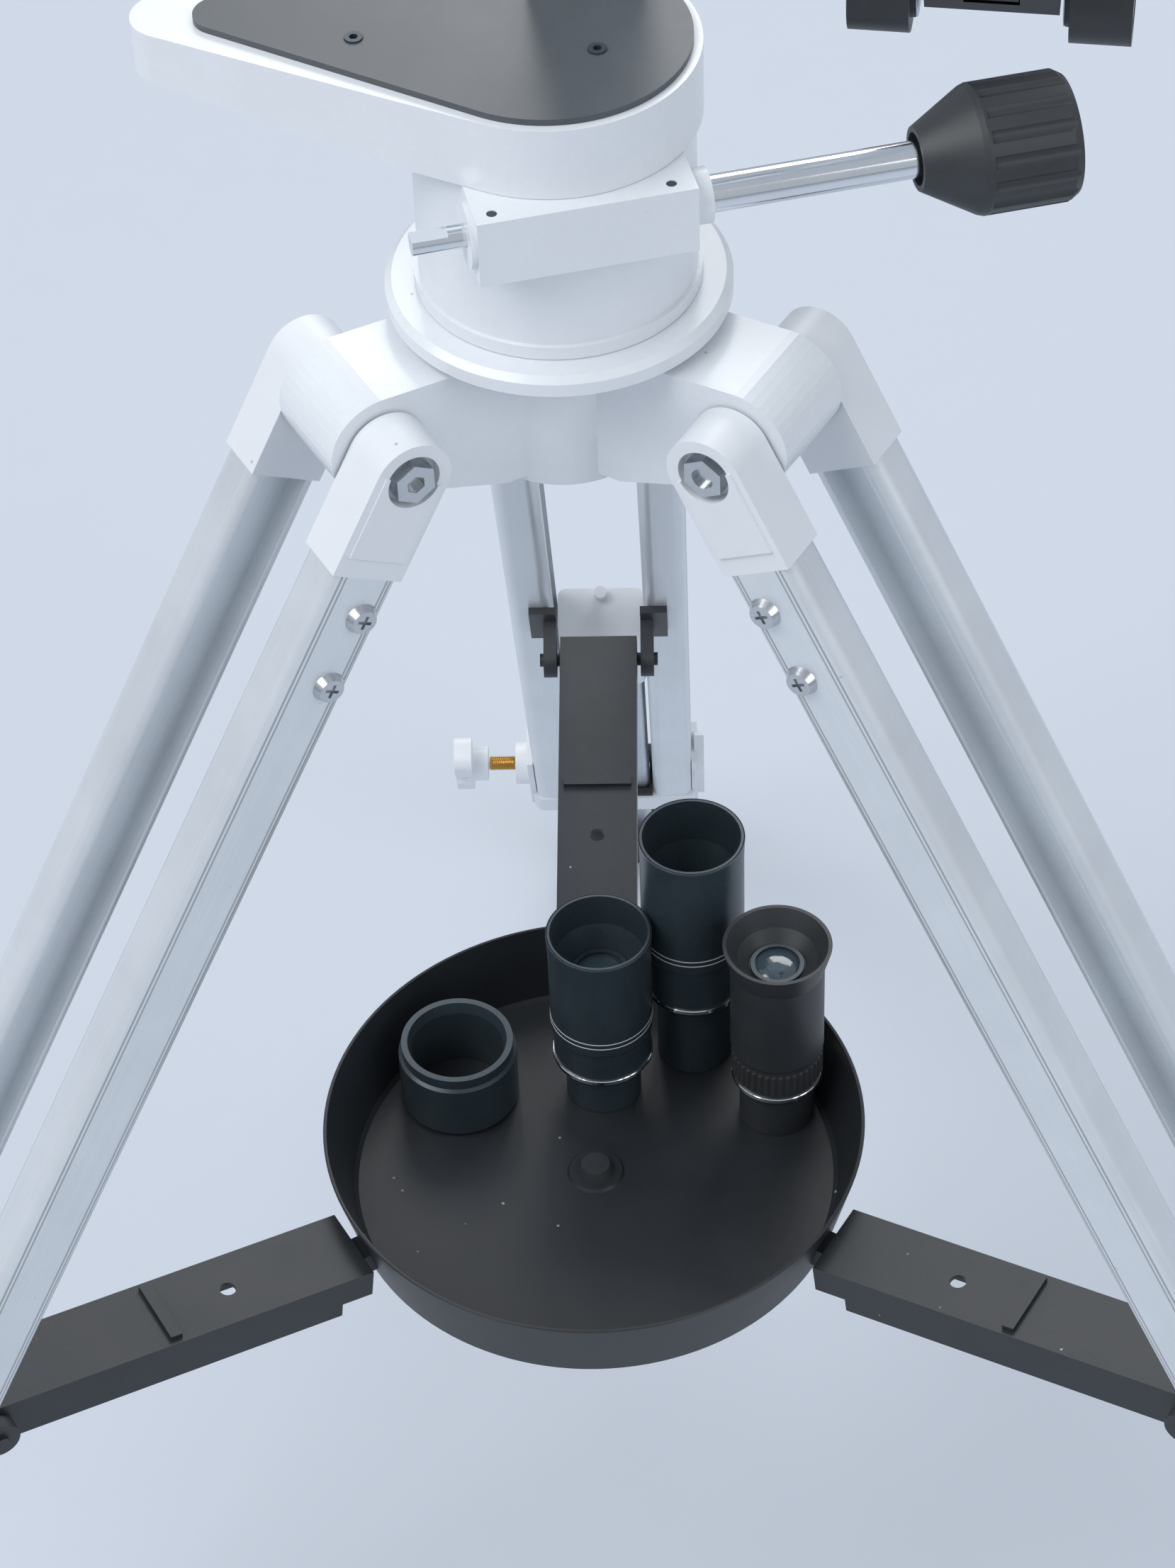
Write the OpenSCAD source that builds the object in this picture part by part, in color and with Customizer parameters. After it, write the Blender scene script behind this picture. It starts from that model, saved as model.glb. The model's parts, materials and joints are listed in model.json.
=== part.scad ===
/* [Tripod] */
// Height of the leg pivots above the floor
pivot_z = 793; // [753:5:833]
// Distance of the leg pivots from the tripod axis
pivot_r = 80; // [78:0.5:82]
// Lean of the legs from the vertical, in degrees
leg_tilt = 29.9; // [29:0.1:31]
// Length of the aluminium rails below the pivot
rail_len = 770; // [760:1:780]
// Width of each rail across the leg
rail_w = 20.4; // [19:0.2:21]
// Depth of each rail, outside face to inside face
rail_d = 28.5; // [27:0.5:29]

/* [Tray] */
// Radius of the tray rim
tray_r = 112; // [106:1:112]
// Radius of the tray floor
floor_r = 103; // [96:1:103]
// Depth of the tray
tray_h = 36; // [28:1:40]

/* [Mount] */
// Radius of the azimuth flange
flange_r = 60; // [56:1:64]
// Radius of the turret drum
drum_r = 48; // [46:0.5:50]
// Number of teeth on the worm wheel
teeth = 60; // [50:1:70]
// Direction of the side arm and of the altitude axis, in degrees
head_yaw = 8; // [0:1:15]
// Angle of the worm shaft to the front, in degrees
worm_yaw = 14; // [8:0.1:16]
// Number of flutes on the slow-motion knob
flutes = 16; // [12:1:20]

/* [Telescope] */
// Radius of the main tube
tube_r = 40; // [36:1:42]
// Elevation of the tube above the horizon, in degrees
elevation = 60; // [50:1:65]
// Distance of the tube axis to the right of the azimuth axis
tube_x = 137; // [134:1:140]
// Height of the altitude axis above the leg pivots
altitude_h = 354; // [345:1:360]

/* [Hidden] */
$fn = 96;

white = "#e8eaec";
black = "#2a2d30";
metal = "#b9c2cc";
rail_in = 20.6;                                  // inner face of a rail from the leg's centre plane
rail_mid = rail_in + rail_w / 2;
rail_top = 40;
clamp_s = 752;                                  // distance of the clamp stud down the leg
guide_s = 497;                                  // top of the inner leg's guide
hinge_s = 458.4;                                 // distance of the brace hinge down the leg
hinge_x = -33.9;                                 // the hinge lies inside the rails
foot_r = 14;
foot_s = (pivot_z - foot_r) / cos(leg_tilt);
hinge_r = pivot_r + hinge_s * sin(leg_tilt) + hinge_x * cos(leg_tilt);
hinge_z = pivot_z - hinge_s * cos(leg_tilt) + hinge_x * sin(leg_tilt);
base_z = pivot_z - 13;                           // reference height of the mount and tray
rim_z = base_z - 399.6;
ear_r = 119;                                     // inner brace pivot
ear_z = rim_z - 20.5;
arm_len = norm([hinge_r - ear_r, hinge_z - ear_z]);
arm_rise = atan2(hinge_z - ear_z, hinge_r - ear_r);
flange_top = base_z + 43.2;
worm_z = base_z + 98.5;
worm_d = 44;                                     // distance of the worm axis from the azimuth axis
seam_z = base_z + 111;                          // where the side arm sits on the turret
arm_top = base_z + 138;
azimuths = [210, 330, 90];

// Moves a piece drawn with its leg hanging down -Z and its outside facing +X into place
module on_leg(az) {
  rotate([0, 0, az])
    translate([pivot_r, 0, pivot_z])
      rotate([0, -leg_tilt, 0])
        children();
}

// Moves a piece into the frame of the side arm and altitude axis
module on_head() {
  rotate([0, 0, -head_yaw])
    children();
}

// Moves a piece drawn with the tube along +Z into place
module on_tube() {
  on_head()
    translate([tube_x, 0, base_z + altitude_h])
      rotate([90 - elevation, 0, 0])
        children();
}

// Moves a piece drawn about the worm shaft along +X into place
module on_worm() {
  rotate([0, 0, worm_yaw])
    translate([0, -worm_d, worm_z])
      children();
}

// A cylinder along Y, centred
module across(r, h) {
  rotate([90, 0, 0])
    cylinder(r = r, h = h, center = true);
}

// A cylinder along X from x0 to x1
module along(r, x0, x1) {
  translate([x0, 0, 0])
    rotate([0, 90, 0])
      cylinder(r = r, h = x1 - x0);
}

// A flat outline with rounded corners, made of squares and circles
module rounded(w, d, r) {
  square([w - 2 * r, d], center = true);
  square([w, d - 2 * r], center = true);
  for (x = [-1, 1], y = [-1, 1])
    translate([x * (w / 2 - r), y * (d / 2 - r)])
      circle(r = r, $fn = 48);
}

// Head casting: a drum with three barrel knuckles
module tripod_head() {
  color(white)
    difference() {
      union() {
        translate([0, 0, base_z - 27])
          cylinder(r = 32, h = 60.6);
        translate([0, 0, base_z + 20])
          cylinder(r1 = 40, r2 = 54, h = 13.6);
        for (a = azimuths)
          rotate([0, 0, a])
            translate([0, 0, pivot_z])
              rotate([90, 0, 0])
                linear_extrude(height = 39.2, center = true)
                  hull() {
                    translate([pivot_r, 0])
                      circle(r = 20, $fn = 40);
                    translate([20, -37])
                      square([14, 54]);
                  }
      }
      translate([0, 0, base_z - 40])
        cylinder(r = 5.1, h = 90);
      translate([0, 0, base_z - 36])
        cylinder(r = 14, h = 30);
      for (a = azimuths)
        rotate([0, 0, a])
          translate([pivot_r, 0, pivot_z])
            across(4.06, 60);
    }
}

// Hex bolts through the three knuckles
module pivot_bolts() {
  color(metal)
    for (a = azimuths)
      on_leg(a)
        difference() {
          union() {
            across(4, 80);
            translate([0, 40, 0])
              rotate([90, 0, 0])
                cylinder(r = 8, h = 6, center = true, $fn = 6);
          }
          translate([0, 42.6, 0])
            rotate([90, 0, 0])
              cylinder(r = 3.6, h = 5, center = true, $fn = 6);
        }
}

// Nuts on the other ends of the pivot bolts
module pivot_nuts() {
  color(metal)
    for (a = azimuths)
      on_leg(a)
        translate([0, -39.7, 0])
          rotate([90, 0, 0])
            difference() {
              cylinder(r = 8, h = 5, center = true, $fn = 6);
              cylinder(r = 4.03, h = 12, center = true);
            }
}

// Centre bolt with its hand wheel under the head
module head_bolt() {
  color(metal)
    translate([0, 0, base_z]) {
      translate([0, 0, -10])
        cylinder(r = 5, h = 58);
      translate([0, 0, -14])
        cylinder(r = 9.5, h = 8, $fn = 6);
    }
}

// Two rails of one leg, with an open channel on their inner sides
module rails(az) {
  color(metal)
    on_leg(az)
      difference() {
        translate([0, 0, -rail_len])
          linear_extrude(height = rail_len - rail_top)
            for (s = [-1, 1])
              translate([0, s * rail_mid])
                difference() {
                  rounded(rail_d, rail_w, 5.5);
                  translate([0, -s * (rail_w / 2 - 4)])
                    square([rail_d - 11, 10], center = true);
                }
        translate([0, 40, -clamp_s])
          across(3.06, 60);
      }
}

// White caps on the tops of the rails, round about the pivot
module caps(az) {
  color(white)
    on_leg(az)
      for (s = [-1, 1])
        difference() {
          union() {
            translate([0, s * rail_mid, 0])
              across(14.5, rail_w);
            translate([0, s * rail_mid, -rail_top / 2])
              cube([29, rail_w, rail_top], center = true);
            translate([0, s * (rail_mid + rail_w / 2 - 0.6), -rail_top / 2 + 4])
              cube([rail_d - 5, 3.2, rail_top - 8], center = true);
          }
          across(4.06, 120);
          translate([0, s * 41.6, 0])
            across(10, 10);
        }
}

// Pan-head screws on the outer sides of the rails
module screws(az) {
  color(metal)
    on_leg(az)
      for (s = [-1, 1], d = [56, 85])
        translate([-5, s * (rail_in + rail_w), -d])
          rotate([-s * 90, 0, 0])
            difference() {
              cylinder(r1 = 6, r2 = 4.6, h = 3);
              for (k = [0, 90])
                rotate([0, 0, k])
                  translate([0, 0, 3])
                    cube([5.4, 1.2, 3], center = true);
            }
}

// Black lugs that carry the brace pin
module lugs(az) {
  color(black)
    on_leg(az)
      translate([hinge_x, 0, -hinge_s]) {
        for (s = [-1, 1]) {
          translate([0, s * 22.2, 0])
            across(8, 6);
          translate([(-rail_d / 2 - hinge_x) / 2, s * 22.2, 0])
            cube([-rail_d / 2 - hinge_x, 6, 16], center = true);
          translate([-rail_d / 2 - 1.7 - hinge_x, s * 25.4, 0])
            cube([3.4, 12.4, 36], center = true);
        }
        across(3, 54);
      }
}

// White clamp collar at the lower ends of the rails

module collar(az) {
  color(white)
    on_leg(az)
      difference() {
        union() {
          translate([0, 0, -rail_len - 22])
            linear_extrude(height = 22)
              rounded(rail_d + 2, 2 * (rail_in + rail_w) + 4, 6);
          for (s = [-1, 1])
            translate([0, s * (rail_in + rail_w + 1.5), -clamp_s - 2])
              cube([22, 3, 74], center = true);
          translate([0, 46, -clamp_s])
            across(11, 10);
          translate([0, -45, -clamp_s + 8])
            rotate([90, 0, 0])
              linear_extrude(height = 5, center = true)
                polygon([[-9, -38], [9, -38], [12, 10], [0, 40], [-12, 10]]);
        }
        translate([0, 0, -rail_len - 10])
          cube([20.4, 37.6, 90], center = true);
        translate([0, 45, -clamp_s])
          across(3.06, 40);
      }
}

// Wing knob on its threaded stud

module wing_knob(az) {
  color(white)
    on_leg(az)
      translate([0, 0, -clamp_s]) {
        translate([0, 47, 0])
          across(3, 56);
        translate([0, 71, 0])
          across(9, 11);
        translate([0, 78, 0])
          rotate([90, 0, 0])
            linear_extrude(height = 9, center = true)
              difference() {
                rounded(18, 46, 6);
                for (s = [-1, 1])
                  translate([s * 18, 0])
                    circle(r = 11);
              }
      }
}

// Inner extension leg

module inner_leg(az) {
  color(metal)
    on_leg(az)
      translate([0, 0, -foot_s])
        difference() {
          translate([0, 0, 16])
            linear_extrude(height = foot_s - guide_s - 86)
              rounded(19, 37, 3);
          translate([0, 0, -1])
            linear_extrude(height = foot_s)
              rounded(14, 32, 2);
        }
}

// White guide cap on the top of the inner leg
module guide(az) {
  color(white)
    on_leg(az)
      translate([0, 0, -guide_s - 70]) {
        linear_extrude(height = 70)
          rounded(26, 40.4, 4);
        translate([9.5, 0, 70])
          cylinder(r = 3, h = 5);
      }
}

// Rubber foot
module foot(az) {
  color(black)
    on_leg(az)
      translate([0, 0, -foot_s]) {
        sphere(r = foot_r);
        difference() {
          union() {
            cylinder(r1 = foot_r, r2 = 24, h = 16);
            translate([0, 0, 16])
              cylinder(r = 24, h = 24);
          }
          translate([0, 0, 16])
            linear_extrude(height = 40)
              rounded(19, 37, 3);
        }
      }
}

// Brace arm: an open channel from the leg to the tray
module brace_arm(az) {
  color(black)
    rotate([0, 0, az])
      translate([hinge_r, 0, hinge_z])
        rotate([0, -arm_rise, 0])
          difference() {
            union() {
              translate([-arm_len - 5.5, -17.5, -9.5])
                cube([arm_len + 11, 35, 19.5]);
              across(9.5, 35);
              translate([-82.5, -15, 9])
                cube([5, 30, 3]);
            }
            translate([-arm_len - 10, -15.5, -20])
              cube([arm_len + 45, 31, 28]);
            translate([-arm_len - 10, -20, -20])
              cube([18, 40, 17]);
            across(3.06, 60);
            translate([-arm_len + 51.5, 0, 0])
              cylinder(r = 3.4, h = 30);
          }
}

// Round tray with three ears for the braces
module tray() {
  color(black)
    translate([0, 0, rim_z]) {
      rotate_extrude($fn = 180)
        polygon([[4.06, -tray_h], [floor_r - 1, -tray_h], [floor_r + 0.5, -tray_h + 1.5],
          [tray_r, -0.6], [tray_r - 0.6, 0], [tray_r - 1.4, -0.2],
          [floor_r - 1.8, -tray_h + 3.6], [floor_r - 3.6, -tray_h + 2], [12, -tray_h + 2],
          [11, -tray_h + 3.2], [4.06, -tray_h + 3.2]]);
      for (a = azimuths)
        rotate([0, 0, a]) {
          translate([floor_r + 4 - 2, -6, ear_z - rim_z - 5])
            cube([ear_r - floor_r - 2, 12, 10]);
          translate([ear_r, 0, ear_z - rim_z])
            across(5, 12);
          translate([ear_r, 0, ear_z - rim_z])
            across(2.5, 30);
        }
    }
}

// Screw through the middle of the tray
module tray_screw() {
  color(metal)
    translate([0, 0, rim_z - tray_h]) {
      translate([0, 0, -14])
        cylinder(r = 4, h = 19);
      translate([0, 0, 3.2])
        cylinder(r1 = 8, r2 = 6, h = 4);
      translate([0, 0, -18])
        cylinder(r = 11, h = 18);
    }
}

// Fixed flange with the post that the mount turns on
module azimuth_flange() {
  color(white)
    difference() {
      rotate_extrude($fn = 180)
        polygon([[0, base_z + 33.6], [flange_r - 3, base_z + 33.6], [flange_r, base_z + 36],
          [flange_r, base_z + 41], [flange_r - 2.4, flange_top], [14, flange_top],
          [14, base_z + 120], [0, base_z + 120]]);
      translate([0, 0, base_z + 30])
        cylinder(r = 5.03, h = 20);
    }
}

// Worm wheel that slips on the post for coarse aiming
module azimuth_wheel() {
  color("#c8a850")
    translate([0, 0, worm_z - 6])
      difference() {
        union() {
          linear_extrude(height = 12)
            polygon([for (i = [0:teeth - 1], k = [0:3])
              let (a = 360 / teeth * (i + [0, 0.22, 0.5, 0.72][k]), r = [31.4, 32.9, 32.9, 31.4][k])
                r * [cos(a), sin(a)]]);
          translate([0, 0, -10])
            cylinder(r = 20, h = 22);
        }
        translate([0, 0, -20])
          cylinder(r = 14.06, h = 60);
      }
}

// Turret drum that covers the wheel
module turret() {
  color(white)
    difference() {
      union() {
        translate([0, 0, flange_top + 0.3])
          cylinder(r = drum_r, h = seam_z - flange_top - 0.3);
        translate([0, 0, flange_top + 0.3])
          cylinder(r = drum_r + 1.6, h = 5);
      }
      translate([0, 0, flange_top - 1])
        cylinder(r = 42, h = worm_z + 8.6 - flange_top);
      cylinder(r = 14.06, h = base_z + 200);
      on_worm()
        translate([-38, -20, -13])
          cube([74, 37, 26]);
    }
}

// Housing of the worm on the front of the turret
module worm_housing() {
  color(white)
    difference() {
      on_worm() {
        difference() {
          union() {
            translate([-38, -12, -13])
              cube([74, 29, 25.3]);
            along(9.5, 35, 42);
            along(11.5, -40, -37);
          }
          along(10.9, -30, 30);
          along(6.46, 29, 50);
          along(4.06, -60, 31);
          for (x = [-32, 28])
            translate([x, -7, 8])
              cylinder(r = 1.8, h = 10);
        }
      }
      translate([0, 0, worm_z - 6.6])
        cylinder(r = 33.4, h = 13.2);
      translate([0, 0, flange_top])
        cylinder(r = 30, h = 100);
    }
}

// Worm and its chrome shaft
module azimuth_worm() {
  color(metal)
    on_worm() {
      difference() {
        along(4, -58, 0);
        translate([-60, -5, 2.6])
          cube([14, 10, 5]);
      }
      rotate([90, 0, 90])
        translate([0, 0, -26])
          rotate_extrude()
            polygon(concat([[0, 0]], [for (i = [0:12], k = [0:1]) [k == 0 ? 9.4 : 10.6, i * 4.13 + k * 1.4]],
              [[0, 52]]));
      along(6.4, 20, 118);
    }
}

// Fluted slow-motion knob
module azimuth_knob() {
  color(black)
    on_worm()
      rotate([0, 90, 0])
        difference() {
          union() {
            rotate_extrude()
              polygon([[6.4, 113], [11, 113], [21.6, 131], [22.3, 133], [22.3, 162], [20.5, 165],
                [6.4, 165]]);
          }
          translate([0, 0, 112])
            cylinder(r = 9, h = 4);
          for (i = [0:flutes - 1])
            rotate([0, 0, i * 360 / flutes])
              translate([24.2, 0, 134])
                cylinder(r = 3, h = 40, $fn = 24);
        }
}

// Side arm on the turret, tapering to its outer end
module side_arm() {
  color(white)
    on_head()
      difference() {
        translate([0, 0, seam_z])
          linear_extrude(height = arm_top - seam_z)
            hull() {
              circle(r = 50.5);
              translate([-128, 0])
                circle(r = 13);
            }
        translate([-160, -60, seam_z - 9.6])
          rotate([0, 5.6, 0])
            cube([104, 120, 20]);
        cylinder(r = 14.06, h = base_z + 124);
      }
}

// Dark cover plate on the top of the arm
module arm_cover() {
  color("#3a4046")
    on_head()
      translate([0, 0, arm_top])
        difference() {
          linear_extrude(height = 2.4)
            difference() {
              hull() {
                circle(r = 47.5);
                translate([-110, 0])
                  circle(r = 9.5);
              }
              translate([-30, 25])
                square([100, 60]);
            }
          for (p = [[17, -7], [-63.5, -9.5]])
            translate([p[0], p[1], -1])
              cylinder(r = 3.2, h = 9);
        }
}

// Small screws of the mount
module mount_screws() {
  color(black) {
    on_head()
      for (p = [[17, -7], [-63.5, -9.5]])
        translate([p[0], p[1], arm_top])
          difference() {
            cylinder(r = 3.1, h = 3);
            translate([0, 0, 1.4])
              cylinder(r = 1.6, h = 3, $fn = 6);
          }
    on_worm()
      for (x = [-32, 28])
        translate([x, -7, 8])
          cylinder(r = 1.75, h = 4);
  }
}

// Upright column from the arm to the altitude axis
module column() {
  color(white)
    on_head()
      difference() {
        union() {
          hull() {
            translate([-12, 26, arm_top])
              cube([40, 16, 6]);
            translate([12, 4, base_z + altitude_h - 30])
              cube([30, 24, 6]);
          }
          hull() {
            translate([12, 4, base_z + altitude_h - 30])
              cube([30, 24, 6]);
            translate([12, 0, base_z + altitude_h])
              rotate([0, 90, 0])
                cylinder(r = 29, h = 30, $fn = 48);
          }
          translate([0, 0, base_z + altitude_h])
            along(24, 8, 58);
        }
        translate([0, 0, base_z + altitude_h])
          along(14.06, -20, 90);
      }
}

// Axle of the altitude joint with its friction nut
module altitude_hub() {
  color(metal)
    on_head()
      translate([0, 0, base_z + altitude_h]) {
        along(14, 2, 72);
        along(22, -12, 7.7);
        along(22, 58.3, 74);
      }
}

// Saddle with two rings that hold the tube
module saddle() {
  color(white)
    on_tube() {
      translate([-62, -22, -75])
        cube([13, 44, 150]);
      for (z = [-70, 50])
        translate([0, 0, z])
          difference() {
            union() {
              cylinder(r = 46, h = 20);
              translate([-52, -16, 0])
                cube([20, 32, 20]);
              translate([38, -8, 0])
                cube([22, 16, 20]);
            }
            translate([0, 0, -1])
              cylinder(r = tube_r, h = 30);
          }
    }
}

// Main tube
module main_tube() {
  color(white)
    on_tube()
      difference() {
        translate([0, 0, -205])
          cylinder(r = tube_r, h = 465);
        translate([0, 0, -210])
          cylinder(r = tube_r - 1.6, h = 480);
      }
}

// Dew shield with the lens cell
module dew_shield() {
  color(white)
    on_tube()
      rotate_extrude()
        polygon([[tube_r, 225], [47, 225], [48.5, 227], [48.5, 378], [47, 380], [45.5, 380],
          [45.5, 262], [tube_r, 262]]);
}

// Objective lens in its cell
module objective() {
  color("#9fc0d0")
    on_tube()
      translate([0, 0, 262])
        union() {
          rotate_extrude()
            polygon([[0, 4], [38, 4], [38, 0], [45.4, 0], [45.4, 14], [38, 14], [30, 16.4],
              [20, 18.2], [10, 19.2], [0, 19.6]]);
        }
}

// Focuser body on the rear of the tube
module focuser() {
  color(black)
    on_tube()
      difference() {
        union() {
          rotate_extrude()
            polygon([[0, -308], [24, -308], [24, -270], [30, -240], [42.5, -222], [42.5, -205.2],
              [0, -205.2]]);
          translate([-24, -33, -304])
            cube([48, 35, 24]);
        }
        translate([0, 0, -400])
          cylinder(r = 19.1, h = 250);
        translate([0, -26, -295])
          rotate([0, 90, 0])
            cylinder(r = 4.06, h = 60, center = true);
        translate([0, -26, -295])
          rotate([0, 90, 0])
            cylinder(r = 7.6, h = 20, center = true);
      }
}

// Focuser shaft with its two knobs and pinion
module focus_knobs() {
  color(black)
    on_tube()
      translate([0, -26, -295]) {
        along(4, -40, 40);
        along(6.6, -9.5, 9.5);
        for (s = [-1, 1])
          rotate([0, s * 90, 0])
            translate([0, 0, 28])
              difference() {
                union() {
                  cylinder(r = 19.5, h = 22);
                  translate([0, 0, -1.6])
                    cylinder(r = 14, h = 4);
                }
                translate([0, 0, 20.6])
                  cylinder(r = 14.5, h = 4);
              }
      }
}

// Draw tube that slides in the focuser
module draw_tube() {
  color(metal)
    on_tube()
      difference() {
        union() {
          translate([0, 0, -318])
            cylinder(r = 19, h = 150);
          translate([0, 0, -318])
            cylinder(r = 22, h = 9.6);
        }
        translate([0, 0, -330])
          cylinder(r = 15.9, h = 175);
      }
}

// Dust plug in the end of the draw tube
module dust_plug() {
  color(black)
    on_tube()
      rotate_extrude()
        polygon([[0, -320.5], [17.5, -320.5], [18.5, -319.8], [18.5, -318], [15.85, -318],
          [15.85, -296], [13.5, -296], [13.5, -317], [0, -317]]);
}

// Turned outline of a loose eyepiece standing on its barrel
module spare(pos, h, r, cup, flare, b) {
  color(black)
    translate([pos[0], pos[1], rim_z - tray_h + 2])
      rotate_extrude()
        polygon([[0, 0.3], [15.8, 0.3], [15.8, b], [r - 2, b], [r - 1, b + 2],
          [r - 1, b + h * 0.2], [r, b + h * 0.22], [r, h - 12], [r + flare, h], [r + flare - 1.6, h],
          [r - 3, h - cup * 0.6], [r * 0.6, h - cup], [0, h - cup - 1]]);
}

// Long loose eyepiece
module spare_long() {
  spare([42, 70], 128, 21.6, 34, 0.4, 40);
}

// Short loose eyepiece
module spare_short() {
  spare([3.2, 48], 95, 21.5, 24, 0.4, 21);
}

// Loose eyepiece with a flared cup
module spare_flared() {
  spare([76.5, 34], 101, 19.5, 12, 3, 22);
}

// Spacer ring with a thread
module spacer_ring() {
  color(black)
    translate([-58, 45, rim_z - tray_h + 2.3])
      rotate_extrude()
        polygon([[19.5, 0], [23, 0], [25, 1.5], [25, 27], [23.6, 28], [23.6, 33], [21, 33], [19.5, 28]]);
}

tripod_head();
pivot_bolts();
pivot_nuts();
head_bolt();
tray();
tray_screw();
rails(210);  // left_rails
caps(210);  // left_caps
screws(210);  // left_screws
lugs(210);  // left_lugs
collar(210);  // left_collar
wing_knob(210);  // left_knob
inner_leg(210);  // left_inner
guide(210);  // left_guide
foot(210);  // left_foot
brace_arm(210);  // left_arm
rails(330);  // right_rails
caps(330);  // right_caps
screws(330);  // right_screws
lugs(330);  // right_lugs
collar(330);  // right_collar
wing_knob(330);  // right_knob
inner_leg(330);  // right_inner
guide(330);  // right_guide
foot(330);  // right_foot
brace_arm(330);  // right_arm
rails(90);  // rear_rails
caps(90);  // rear_caps
screws(90);  // rear_screws
lugs(90);  // rear_lugs
collar(90);  // rear_collar
wing_knob(90);  // rear_knob
inner_leg(90);  // rear_inner
guide(90);  // rear_guide
foot(90);  // rear_foot
brace_arm(90);  // rear_arm
azimuth_flange();
azimuth_wheel();
turret();
worm_housing();
azimuth_worm();
azimuth_knob();
side_arm();
arm_cover();
mount_screws();
column();
altitude_hub();
saddle();
main_tube();  // tube
dew_shield();
objective();
focuser();
focus_knobs();
draw_tube();
dust_plug();
spare_long();
spare_short();
spare_flared();
spacer_ring();
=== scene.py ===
import json
import math
import bpy
import bmesh
from mathutils import Matrix, Vector


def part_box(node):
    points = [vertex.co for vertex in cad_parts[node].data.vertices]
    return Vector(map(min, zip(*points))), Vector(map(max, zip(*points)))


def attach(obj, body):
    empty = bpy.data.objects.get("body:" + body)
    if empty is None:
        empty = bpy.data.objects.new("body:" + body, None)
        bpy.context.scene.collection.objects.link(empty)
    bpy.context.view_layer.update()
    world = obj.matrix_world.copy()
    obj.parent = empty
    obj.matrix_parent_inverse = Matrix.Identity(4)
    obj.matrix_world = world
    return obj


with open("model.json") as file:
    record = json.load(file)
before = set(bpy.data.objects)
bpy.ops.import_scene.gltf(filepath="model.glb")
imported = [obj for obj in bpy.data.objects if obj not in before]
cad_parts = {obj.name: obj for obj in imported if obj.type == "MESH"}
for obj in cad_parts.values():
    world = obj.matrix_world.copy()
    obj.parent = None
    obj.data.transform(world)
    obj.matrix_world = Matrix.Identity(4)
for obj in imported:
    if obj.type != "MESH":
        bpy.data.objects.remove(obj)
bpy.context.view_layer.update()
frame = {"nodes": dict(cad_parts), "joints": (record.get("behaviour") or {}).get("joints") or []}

NODES = frame["nodes"]
JOINTS = {j["name"]: j for j in frame["joints"]}
LEGS = ("left", "right", "rear")
MM = 0.001


# ---------------------------------------------------------------- frames on the object
def frame_from(origin, x, y, z):
    m = Matrix.Identity(4)
    for i, axis in enumerate((x, y, z)):
        for k in range(3):
            m[k][i] = axis[k]
    for k in range(3):
        m[k][3] = origin[k]
    return m


def leg_frame(leg):
    """Leg hanging down -Z from its pivot, outside facing +X."""
    across = Vector(JOINTS[leg + "_fold"]["axis"]).normalized()
    up = Vector(JOINTS[leg + "_slide"]["axis"]).normalized()
    return frame_from(Vector(JOINTS[leg + "_fold"]["pos_m"]), across.cross(up), across, up)


def tube_frame():
    """Optical axis along +Z, origin where the altitude axis meets it."""
    forward = Vector(JOINTS["focus_slide"]["axis"]).normalized()
    right = Vector(JOINTS["altitude"]["axis"]).normalized()
    low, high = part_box("tube")
    origin = (low + high) / 2 - forward * 27.5 * MM
    return frame_from(origin, right, forward.cross(right), forward)


def worm_frame():
    """Worm shaft along +Z."""
    axis = Vector(JOINTS["worm_turn"]["axis"]).normalized()
    side = Vector((0, 0, 1)).cross(axis).normalized()
    return frame_from(Vector(JOINTS["worm_turn"]["pos_m"]), side, axis.cross(side), axis)


LEG = {leg: leg_frame(leg) for leg in LEGS}
TUBE = tube_frame()
WORM = worm_frame()


# ---------------------------------------------------------------- materials
def node(tree, kind, **inputs):
    n = tree.nodes.new(kind)
    for k, v in inputs.items():
        n.inputs[k.replace("_", " ")].default_value = v
    return n


def maths(tree, op, a, b=None, clamp=False):
    n = tree.nodes.new("ShaderNodeMath")
    n.operation = op
    n.use_clamp = clamp
    for i, v in enumerate((a, b)):
        if v is None:
            continue
        if isinstance(v, (int, float)):
            n.inputs[i].default_value = v
        else:
            tree.links.new(v, n.inputs[i])
    return n.outputs[0]


def blend_colour(tree, factor, a, b):
    n = tree.nodes.new("ShaderNodeMix")
    n.data_type = "RGBA"
    tree.links.new(factor, n.inputs["Factor"])
    for key, v in (("A", a), ("B", b)):
        socket = [s for s in n.inputs if s.name == key and s.type == "RGBA"][0]
        if isinstance(v, tuple):
            socket.default_value = v
        else:
            tree.links.new(v, socket)
    return [s for s in n.outputs if s.type == "RGBA"][0]


def spread(tree, value, low, high, to_low, to_high):
    n = tree.nodes.new("ShaderNodeMapRange")
    tree.links.new(value, n.inputs["Value"])
    for k, v in (("From Min", low), ("From Max", high), ("To Min", to_low), ("To Max", to_high)):
        n.inputs[k].default_value = v
    return n.outputs["Result"]


OUTER_FACE = 40.6 * MM   # the rails' outer side faces lie beyond this
GROOVES = (8.6, 10.2)    # lines along those faces, from the middle, in mm


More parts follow.
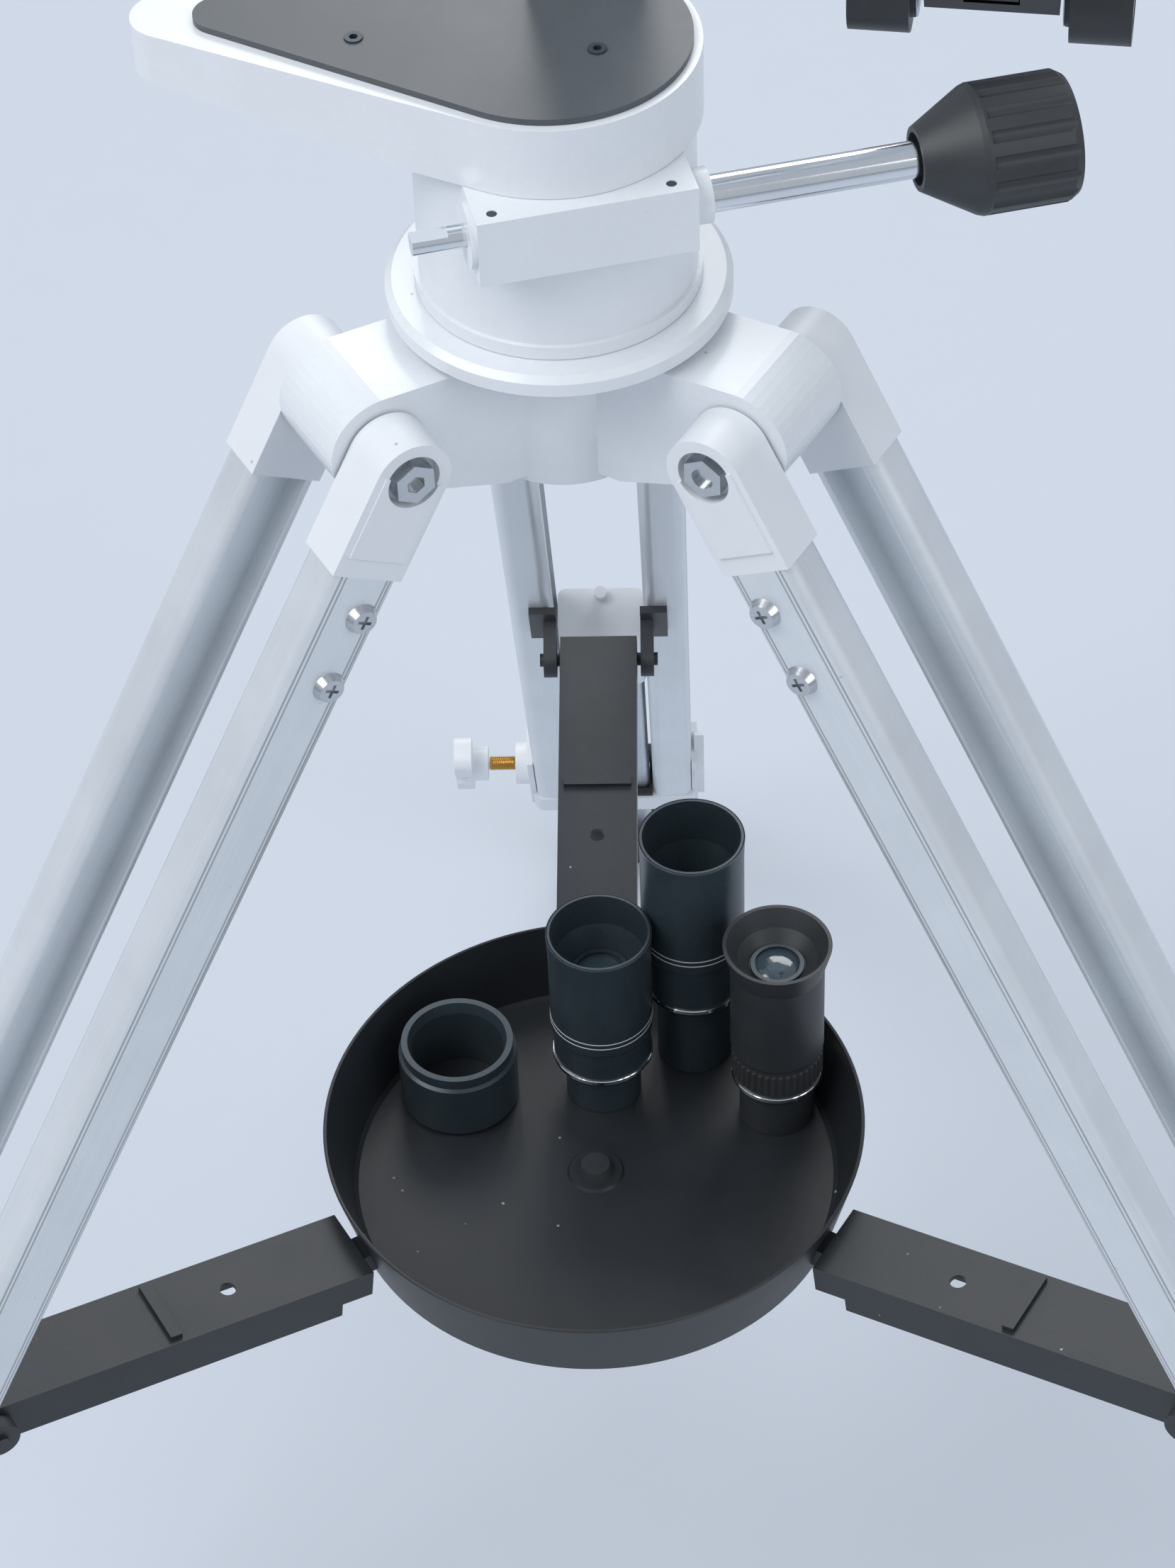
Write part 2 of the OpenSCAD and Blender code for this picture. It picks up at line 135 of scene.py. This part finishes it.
def material(name, colour, rough, metallic=0.0, vary=0.06, grain=900.0, bump=0.03, depth=0.0002,
             rough_vary=0.06, dust=0.0, dust_colour=(0.5, 0.53, 0.56, 1), stretch=None, along=None,
             lines=False, coat=0.0, glass=False, ior=1.5, aniso=0.0):
    m = bpy.data.materials.new(name)
    m.use_nodes = True
    t = m.node_tree
    shader = t.nodes["Principled BSDF"]
    shader.inputs["Metallic"].default_value = metallic
    shader.inputs["IOR"].default_value = ior
    shader.inputs["Coat Weight"].default_value = coat
    shader.inputs["Coat Roughness"].default_value = 0.12
    shader.inputs["Anisotropic"].default_value = aniso
    coord = t.nodes.new("ShaderNodeTexCoord").outputs["Object"]
    if along is not None:
        place = t.nodes.new("ShaderNodeMapping")
        place.vector_type = "TEXTURE"
        t.links.new(coord, place.inputs["Vector"])
        place.inputs["Location"].default_value = along.translation
        place.inputs["Rotation"].default_value = along.to_euler("XYZ")
        coord = place.outputs["Vector"]
    fine_coord = coord
    if stretch is not None:
        s = t.nodes.new("ShaderNodeMapping")
        t.links.new(coord, s.inputs["Vector"])
        s.inputs["Scale"].default_value = stretch
        fine_coord = s.outputs["Vector"]
    broad = node(t, "ShaderNodeTexNoise", Scale=22.0, Detail=4.0, Roughness=0.6)
    t.links.new(coord, broad.inputs["Vector"])
    fine = node(t, "ShaderNodeTexNoise", Scale=grain, Detail=3.0, Roughness=0.55)
    t.links.new(fine_coord, fine.inputs["Vector"])
    dark = tuple(c * (1 - vary) for c in colour) + (1,)
    light = tuple(min(1, c * (1 + vary)) for c in colour) + (1,)
    factor = maths(t, "ADD", maths(t, "MULTIPLY", broad.outputs["Fac"], 0.65),
                   maths(t, "MULTIPLY", fine.outputs["Fac"], 0.35))
    base = blend_colour(t, spread(t, factor, 0.35, 0.65, 0, 1), dark, light)
    height = fine.outputs["Fac"]
    if lines:
        split = t.nodes.new("ShaderNodeSeparateXYZ")
        t.links.new(coord, split.inputs[0])
        across = maths(t, "ABSOLUTE", split.outputs["X"])
        groove = None
        for at in GROOVES:
            near = maths(t, "ABSOLUTE", maths(t, "SUBTRACT", across, at * MM))
            one = spread(t, near, 0.0002, 0.0005, 1, 0)
            groove = one if groove is None else maths(t, "MAXIMUM", groove, one)
        outside = maths(t, "GREATER_THAN", maths(t, "ABSOLUTE", split.outputs["Y"]),
                        OUTER_FACE)
        groove = maths(t, "MULTIPLY", groove, outside)
        # The grooves are painted dark: painted shade in the grooves, on top of their bump.
        base = blend_colour(t, maths(t, "MULTIPLY", groove, 0.7), base,
                            tuple(c * 0.3 for c in colour) + (1,))
        height = maths(t, "SUBTRACT", height, groove)
    if dust > 0:
        cells = node(t, "ShaderNodeTexVoronoi", Scale=260.0)
        t.links.new(coord, cells.inputs["Vector"])
        spot = spread(t, cells.outputs["Distance"], 0.1, 0.2, 1, 0)
        pick = t.nodes.new("ShaderNodeSeparateColor")
        t.links.new(cells.outputs["Color"], pick.inputs[0])
        chosen = maths(t, "GREATER_THAN", pick.outputs[0], 1 - dust)
        base = blend_colour(t, maths(t, "MULTIPLY", maths(t, "MULTIPLY", spot, chosen), 0.7), base,
                            dust_colour)
    t.links.new(base, shader.inputs["Base Color"])
    t.links.new(spread(t, factor, 0.3, 0.7, max(0.02, rough - rough_vary), rough + rough_vary),
                shader.inputs["Roughness"])
    b = node(t, "ShaderNodeBump", Strength=bump, Distance=depth)
    t.links.new(height, b.inputs["Height"])
    t.links.new(b.outputs["Normal"], shader.inputs["Normal"])
    if glass:
        shader.inputs["Transmission Weight"].default_value = 0.55
    return m


WHITE = material("white_enamel", (0.77, 0.80, 0.835), 0.32, vary=0.025, grain=420, bump=0.10,
                 depth=0.0003, dust=0.006, dust_colour=(0.35, 0.36, 0.38, 1), coat=0.35)
MOULDED = material("white_plastic", (0.78, 0.805, 0.84), 0.38, vary=0.02, grain=1100, bump=0.06,
                   dust=0.006, dust_colour=(0.3, 0.31, 0.33, 1))
BLACK = material("black_paint", (0.022, 0.026, 0.030), 0.42, vary=0.25, grain=1300, bump=0.16,
                 dust=0.006)
TRAY = material("tray_paint", (0.018, 0.021, 0.025), 0.44, vary=0.2, grain=1700, bump=0.14,
                dust=0.006)
PLASTIC = material("black_plastic", (0.03, 0.034, 0.038), 0.46, vary=0.2, grain=1500, bump=0.2,
                   dust=0.005)
TURNED = material("black_anodised", (0.040, 0.058, 0.070), 0.34, metallic=0.3, vary=0.2, grain=700,
                  bump=0.05)
COVER = material("cover_plate", (0.075, 0.085, 0.095), 0.34, vary=0.12, grain=800, bump=0.05,
                 dust=0.005)
RUBBER = material("rubber", (0.028, 0.03, 0.032), 0.7, vary=0.2, grain=1200, bump=0.25)
STEEL = material("plated_steel", (0.56, 0.58, 0.60), 0.26, metallic=1.0, vary=0.1, grain=900,
                 bump=0.05)
CHROME = material("chrome", (0.76, 0.79, 0.82), 0.11, metallic=1.0, vary=0.04, rough_vary=0.03,
                  stretch=(1, 1, 12), along=WORM, grain=500, bump=0.03)
DISC = material("turned_disc", (0.34, 0.42, 0.48), 0.3, metallic=0.9, vary=0.1, grain=800,
                bump=0.04)
BRASS = material("brass", (0.70, 0.50, 0.22), 0.3, metallic=1.0, vary=0.12, grain=700, bump=0.06)
GLASS = material("coated_glass", (0.10, 0.16, 0.20), 0.05, vary=0.05, rough_vary=0.01, grain=60,
                 bump=0.0, coat=1.0, glass=True, ior=1.52)
# Lighter than the eyepiece body: a painted highlight on the rim.
LIP = material("rim_painted_highlight", (0.10, 0.13, 0.15), 0.3, metallic=0.5, vary=0.15, grain=900,
               bump=0.04)
MARK = material("white_marking", (0.72, 0.75, 0.78), 0.5, vary=0.1, grain=900, bump=0.02)
RAIL = {leg: material(leg + "_anodised", (0.74, 0.775, 0.81), 0.36, metallic=0.45, vary=0.05,
                      stretch=(1, 1, 0.012), along=LEG[leg], grain=1400, bump=0.07, aniso=0.3,
                      lines=True, dust=0.004) for leg in LEGS}
INNER = {leg: material(leg + "_inner_metal", (0.55, 0.60, 0.66), 0.3, metallic=0.9, vary=0.08,
                       stretch=(1, 1, 0.012), along=LEG[leg], grain=1400, bump=0.06, aniso=0.4)
         for leg in LEGS}


# ---------------------------------------------------------------- pieces (sizes in mm)
SHARP_EDGE = 32      # degrees between faces that keep a crisp edge
RIB_ROOT = 0.6       # how far a ribbed band reaches below its surface
TRIM_EDGE = 0.4      # eased edge of a gasket
WASHER_AT = 20.1     # middle of the gap between a knuckle and a top cap
GASKET_AT = -769.9   # lower face of the gasket, on top of the clamp collar
THREAD_AT = -19.6    # start of the bare thread, measured from the wing knob
THREAD_TURNS = 13


def finish_piece(obj, mat, body, bevel=0.0):
    obj.data.materials.clear()
    obj.data.materials.append(mat)
    if bevel:
        b = obj.modifiers.new("edge", "BEVEL")
        b.width = bevel
        b.segments = 2
        b.limit_method = "ANGLE"
    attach(obj, body)
    return obj


def link_mesh(name, bm):
    """Object made from bm, with its faces turned outward."""
    bmesh.ops.recalc_face_normals(bm, faces=bm.faces)
    mesh = bpy.data.meshes.new(name)
    bm.to_mesh(mesh)
    bm.free()
    obj = bpy.data.objects.new(name, mesh)
    bpy.context.scene.collection.objects.link(obj)
    return obj


def point(place, x, y, z):
    """A point given in mm in the frame place."""
    return place @ Vector((x * MM, y * MM, z * MM))


def turned(name, profile, place, mat, body, steps=96):
    """A ring or cap turned about the frame's Z from a closed (radius, height) outline in mm."""
    bm = bmesh.new()
    rings = []
    for i in range(steps):
        a = 2 * math.pi * i / steps
        rings.append([bm.verts.new(point(place, r * math.cos(a), r * math.sin(a), h))
                      for r, h in profile])
    count = len(profile)
    for i in range(steps):
        for k in range(count):
            a, b = rings[i], rings[(i + 1) % steps]
            n = (k + 1) % count
            bm.faces.new((a[k], b[k], b[n], a[n]))
    bmesh.ops.remove_doubles(bm, verts=bm.verts, dist=1e-7)
    obj = link_mesh(name, bm)
    for p in obj.data.polygons:
        p.use_smooth = True
    obj.data.set_sharp_from_angle(angle=math.radians(SHARP_EDGE))
    return finish_piece(obj, mat, body)


def ring(r0, r1, h0, h1, c=0.25):
    """Outline of a ring with its outer edges eased by c."""
    return [(r0, h0), (r1 - c, h0), (r1, h0 + c), (r1, h1 - c), (r1 - c, h1), (r0, h1)]


def ribbed(name, place, radius, depth, count, h0, h1, mat, body):
    """A band of moulded ribs about the frame's Z."""
    bm = bmesh.new()
    steps = count * 4
    rows = []
    for h in (h0, h0 + 0.8, h1 - 0.8, h1):
        edge = h in (h0, h1)
        row = []
        for i in range(steps):
            a = 2 * math.pi * i / steps
            r = radius + (0 if edge or i % 4 in (0, 3) else depth)
            row.append(bm.verts.new(point(place, r * math.cos(a), r * math.sin(a), h)))
        rows.append(row)
    root = radius - RIB_ROOT
    turn = 2 * math.pi / steps
    inner = [[bm.verts.new(point(place, root * math.cos(turn * i), root * math.sin(turn * i), h))
              for i in range(steps)] for h in (h1, h0)]
    loops = rows + inner
    for a, b in zip(loops, loops[1:] + loops[:1]):
        for i in range(steps):
            n = (i + 1) % steps
            bm.faces.new((a[i], a[n], b[n], b[i]))
    return finish_piece(link_mesh(name, bm), mat, body)


def trim(name, place, mat, body, centre, outer, inner, h0, h1):
    """A thin rectangular gasket: outer and inner are its sizes, centre its middle, in mm."""
    bm = bmesh.new()
    def loop(size, h):
        w, d = size
        return [bm.verts.new(point(place, centre[0] + x * w / 2, centre[1] + y * d / 2, h))
                for x, y in ((-1, -1), (1, -1), (1, 1), (-1, 1))]

    loops = [loop(outer, h0), loop(outer, h1), loop(inner, h1), loop(inner, h0)]
    for a, b in zip(loops, loops[1:] + loops[:1]):
        for i in range(4):
            n = (i + 1) % 4
            bm.faces.new((a[i], a[n], b[n], b[i]))
    return finish_piece(link_mesh(name, bm), mat, body, bevel=TRIM_EDGE * MM)


# Legs: fork washers, gaskets on the clamp collars, brass stud threads
for leg in LEGS:
    place = LEG[leg]
    turn_y = place @ Matrix.Rotation(-math.pi / 2, 4, "X")
    for side in (-1, 1):
        y = side * WASHER_AT
        turned(f"{leg}_washer_{side + 2}", ring(4.4, 11.5, y - 0.42, y + 0.42, 0.1),
               turn_y, PLASTIC, "stand", 64)
    trim(f"{leg}_gasket", place, RUBBER, leg + "_leg", (0, 0), (28, 40.6), (19.8, 37.6),
         GASKET_AT, GASKET_AT + 2.9)
    clamp = frame_from(Vector(JOINTS[leg + "_clamp_turn"]["pos_m"]),
                       Vector((place[0][0], place[1][0], place[2][0])),
                       -Vector((place[0][2], place[1][2], place[2][2])),
                       Vector((place[0][1], place[1][1], place[2][1])))
    thread = [(3.05, THREAD_AT)]
    for i in range(THREAD_TURNS):
        thread += [(3.2, THREAD_AT + i), (3.9, THREAD_AT + 0.5 + i)]
    thread += [(3.05, THREAD_AT + THREAD_TURNS + 0.4)]
    turned(f"{leg}_stud_thread", thread, clamp, BRASS, leg + "_clamp", 48)

# Focuser knobs: metal discs in their faces
low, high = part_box("focus_knobs")
shaft = Vector(JOINTS["focus_turn"]["pos_m"])
right = Vector(JOINTS["altitude"]["axis"]).normalized()
other = right.cross(Vector((0, 0, 1))).normalized()
knob_axis = frame_from(shaft, other, right.cross(other), right)
DISCS = (("outer_right", 48.7, 49.7, 0.01, 14.2), ("outer_left", -49.7, -48.7, 0.01, 14.2),
         ("inner_right", 25.6, 26.3, 4.3, 13.8), ("inner_left", -26.3, -25.6, 4.3, 13.8))
for name, h0, h1, r0, r1 in DISCS:
    turned("knob_disc_" + name, ring(r0, r1, h0, h1), knob_axis, DISC, "focus")


# Loose eyepieces and their trim
def standing(node_name):
    low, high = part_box(node_name)
    return Matrix.Translation(Vector(((low.x + high.x) / 2, (low.y + high.y) / 2, low.z))), \
        (high.z - low.z) / MM


for node_name, radius, cup, barrel in (("spare_long", 21.6, 34, 40), ("spare_short", 21.5, 24, 21),
                                       ("spare_flared", 19.5, 12, 22)):
    place, tall = standing(node_name)
    body = node_name + "_loose"
    turned(node_name + "_chrome_ring", ring(radius - 1.4, radius - 0.3, barrel + 2.2, barrel + 4.4),
           place, CHROME, body)
    turned(node_name + "_lens", [(0.01, tall - cup - 0.6), (radius * 0.48, tall - cup - 0.6),
                                 (radius * 0.40, tall - cup + 0.6),
                                 (radius * 0.2, tall - cup + 1.5),
                                 (0.01, tall - cup + 1.8)], place, GLASS, body)
    turned(node_name + "_lens_ring", ring(radius * 0.48, radius * 0.58, tall - cup - 0.6,
                                          tall - cup + 1.0), place, TURNED, body)
    if node_name == "spare_flared":
        ribbed("flared_grip", place, radius - 1, 0.7, 40, barrel + 6, barrel + 18, RUBBER, body)
    else:
        for i in range(2):
            at = barrel + tall * 0.22 + 4 + 2.6 * i
            turned(f"{node_name}_stripe_{i}", ring(radius - 0.3, radius + 0.08, at, at + 0.5, 0.02),
                   place, MARK, body)
        turned(node_name + "_lip", ring(radius - 0.1, radius + 0.45, tall - 1.2, tall, 0.2), place,
               LIP, body)

# Telescope: bands and a lens retaining ring
for i, (at, wide) in enumerate(((-201, 4), (222, 2.4))):
    turned(f"tube_band_{i}", ring(40.0, 40.7, at, at + wide, 0.2), TUBE, PLASTIC, "telescope")
turned("lens_retainer", ring(37, 45.2, 276.2, 279.4, 0.5), TUBE, TURNED, "telescope")

# ---------------------------------------------------------------- finishes of the CAD nodes
FINISH = {
    "tripod_head": WHITE, "azimuth_flange": WHITE, "turret": WHITE, "worm_housing": WHITE,
    "side_arm": WHITE, "column": WHITE, "saddle": WHITE, "tube": WHITE, "dew_shield": WHITE,
    "pivot_bolts": STEEL, "pivot_nuts": STEEL, "head_bolt": STEEL, "mount_screws": TURNED,
    "tray": TRAY, "tray_screw": PLASTIC, "arm_cover": COVER, "azimuth_wheel": BRASS,
    "azimuth_worm": CHROME, "azimuth_knob": PLASTIC, "altitude_hub": CHROME, "objective": GLASS,
    "focuser": BLACK, "focus_knobs": PLASTIC, "draw_tube": CHROME, "dust_plug": PLASTIC,
    "spare_long": TURNED, "spare_short": TURNED, "spare_flared": PLASTIC,
    "spacer_ring": TURNED,
}
for leg in LEGS:
    FINISH.update({leg + "_rails": RAIL[leg], leg + "_caps": MOULDED, leg + "_screws": STEEL,
                   leg + "_lugs": PLASTIC, leg + "_collar": MOULDED, leg + "_knob": MOULDED,
                   leg + "_inner": INNER[leg], leg + "_guide": MOULDED, leg + "_foot": RUBBER,
                   leg + "_arm": BLACK})
EDGES = {"tripod_head": 1.6, "side_arm": 1.6, "worm_housing": 1.2, "column": 1.5, "arm_cover": 0.6,
         "saddle": 0.8}
for name, obj in NODES.items():
    obj.data.materials.clear()
    obj.data.materials.append(FINISH[name])
    b = obj.modifiers.new("edge", "BEVEL")
    b.width = EDGES.get(name, 0.35) * MM
    b.segments = 3 if name in EDGES else 2
    b.limit_method = "ANGLE"
    b.angle_limit = math.radians(40)
    b.harden_normals = False

# ---------------------------------------------------------------- floor, light, camera
mesh = bpy.data.meshes.new("floor")
mesh.from_pydata([(-25, -25, 0), (25, -25, 0), (25, 25, 0), (-25, 25, 0)], [], [(0, 1, 2, 3)])
floor = bpy.data.objects.new("floor", mesh)
bpy.context.scene.collection.objects.link(floor)
floor.data.materials.append(material("studio_floor", (0.60, 0.645, 0.715), 0.9, vary=0.004,
                                     grain=30, bump=0.0))


def softbox(name, place, aim, size, power, colour=(1, 1, 1)):
    data = bpy.data.lights.new(name, "AREA")
    data.shape = "RECTANGLE"
    data.size, data.size_y = size
    data.energy = power
    data.color = colour
    lamp = bpy.data.objects.new(name, data)
    bpy.context.scene.collection.objects.link(lamp)
    lamp.location = place
    lamp.rotation_euler = (Vector(aim) - Vector(place)).to_track_quat("-Z", "Y").to_euler()


softbox("key", (-1.9, -0.9, 3.2), (0, 0, 0.6), (2.4, 2.0), 62)
softbox("fill", (2.4, -1.8, 2.4), (0, 0, 0.5), (1.8, 1.8), 22, (0.95, 0.98, 1.0))
softbox("back", (0.6, 2.6, 2.6), (0, 0, 0.7), (2.2, 1.4), 34)
world = bpy.data.worlds.new("studio")
world.use_nodes = True
world.node_tree.nodes["Background"].inputs["Color"].default_value = (0.80, 0.85, 0.92, 1)
world.node_tree.nodes["Background"].inputs["Strength"].default_value = 0.62
bpy.context.scene.world = world
bpy.context.scene.view_settings.view_transform = "Standard"

FLANGE_UP = 33.6 * MM
reference_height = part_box("azimuth_flange")[0].z - FLANGE_UP
AZIMUTH, ELEVATION, ROLL = (math.radians(v) for v in (2.133, 44.65, -2.255))
DISTANCE = 1.6925
back = Vector((math.sin(AZIMUTH) * math.cos(ELEVATION), -math.cos(AZIMUTH) * math.cos(ELEVATION),
               math.sin(ELEVATION)))
ahead = -back
right = ahead.cross(Vector((0, 0, 1))).normalized()
up = right.cross(ahead)
cam_x = right * math.cos(ROLL) + up * math.sin(ROLL)
cam_y = up * math.cos(ROLL) - right * math.sin(ROLL)
data = bpy.data.cameras.new("camera")
data.sensor_width = 36
data.sensor_fit = "AUTO"
data.lens = 101.6
data.clip_end = 30
camera = bpy.data.objects.new("camera", data)
bpy.context.scene.collection.objects.link(camera)
camera.matrix_world = frame_from(Vector((0.0029, 0, reference_height - 0.2055)) + back * DISTANCE,
                                 cam_x, cam_y, back)
bpy.context.scene.camera = camera
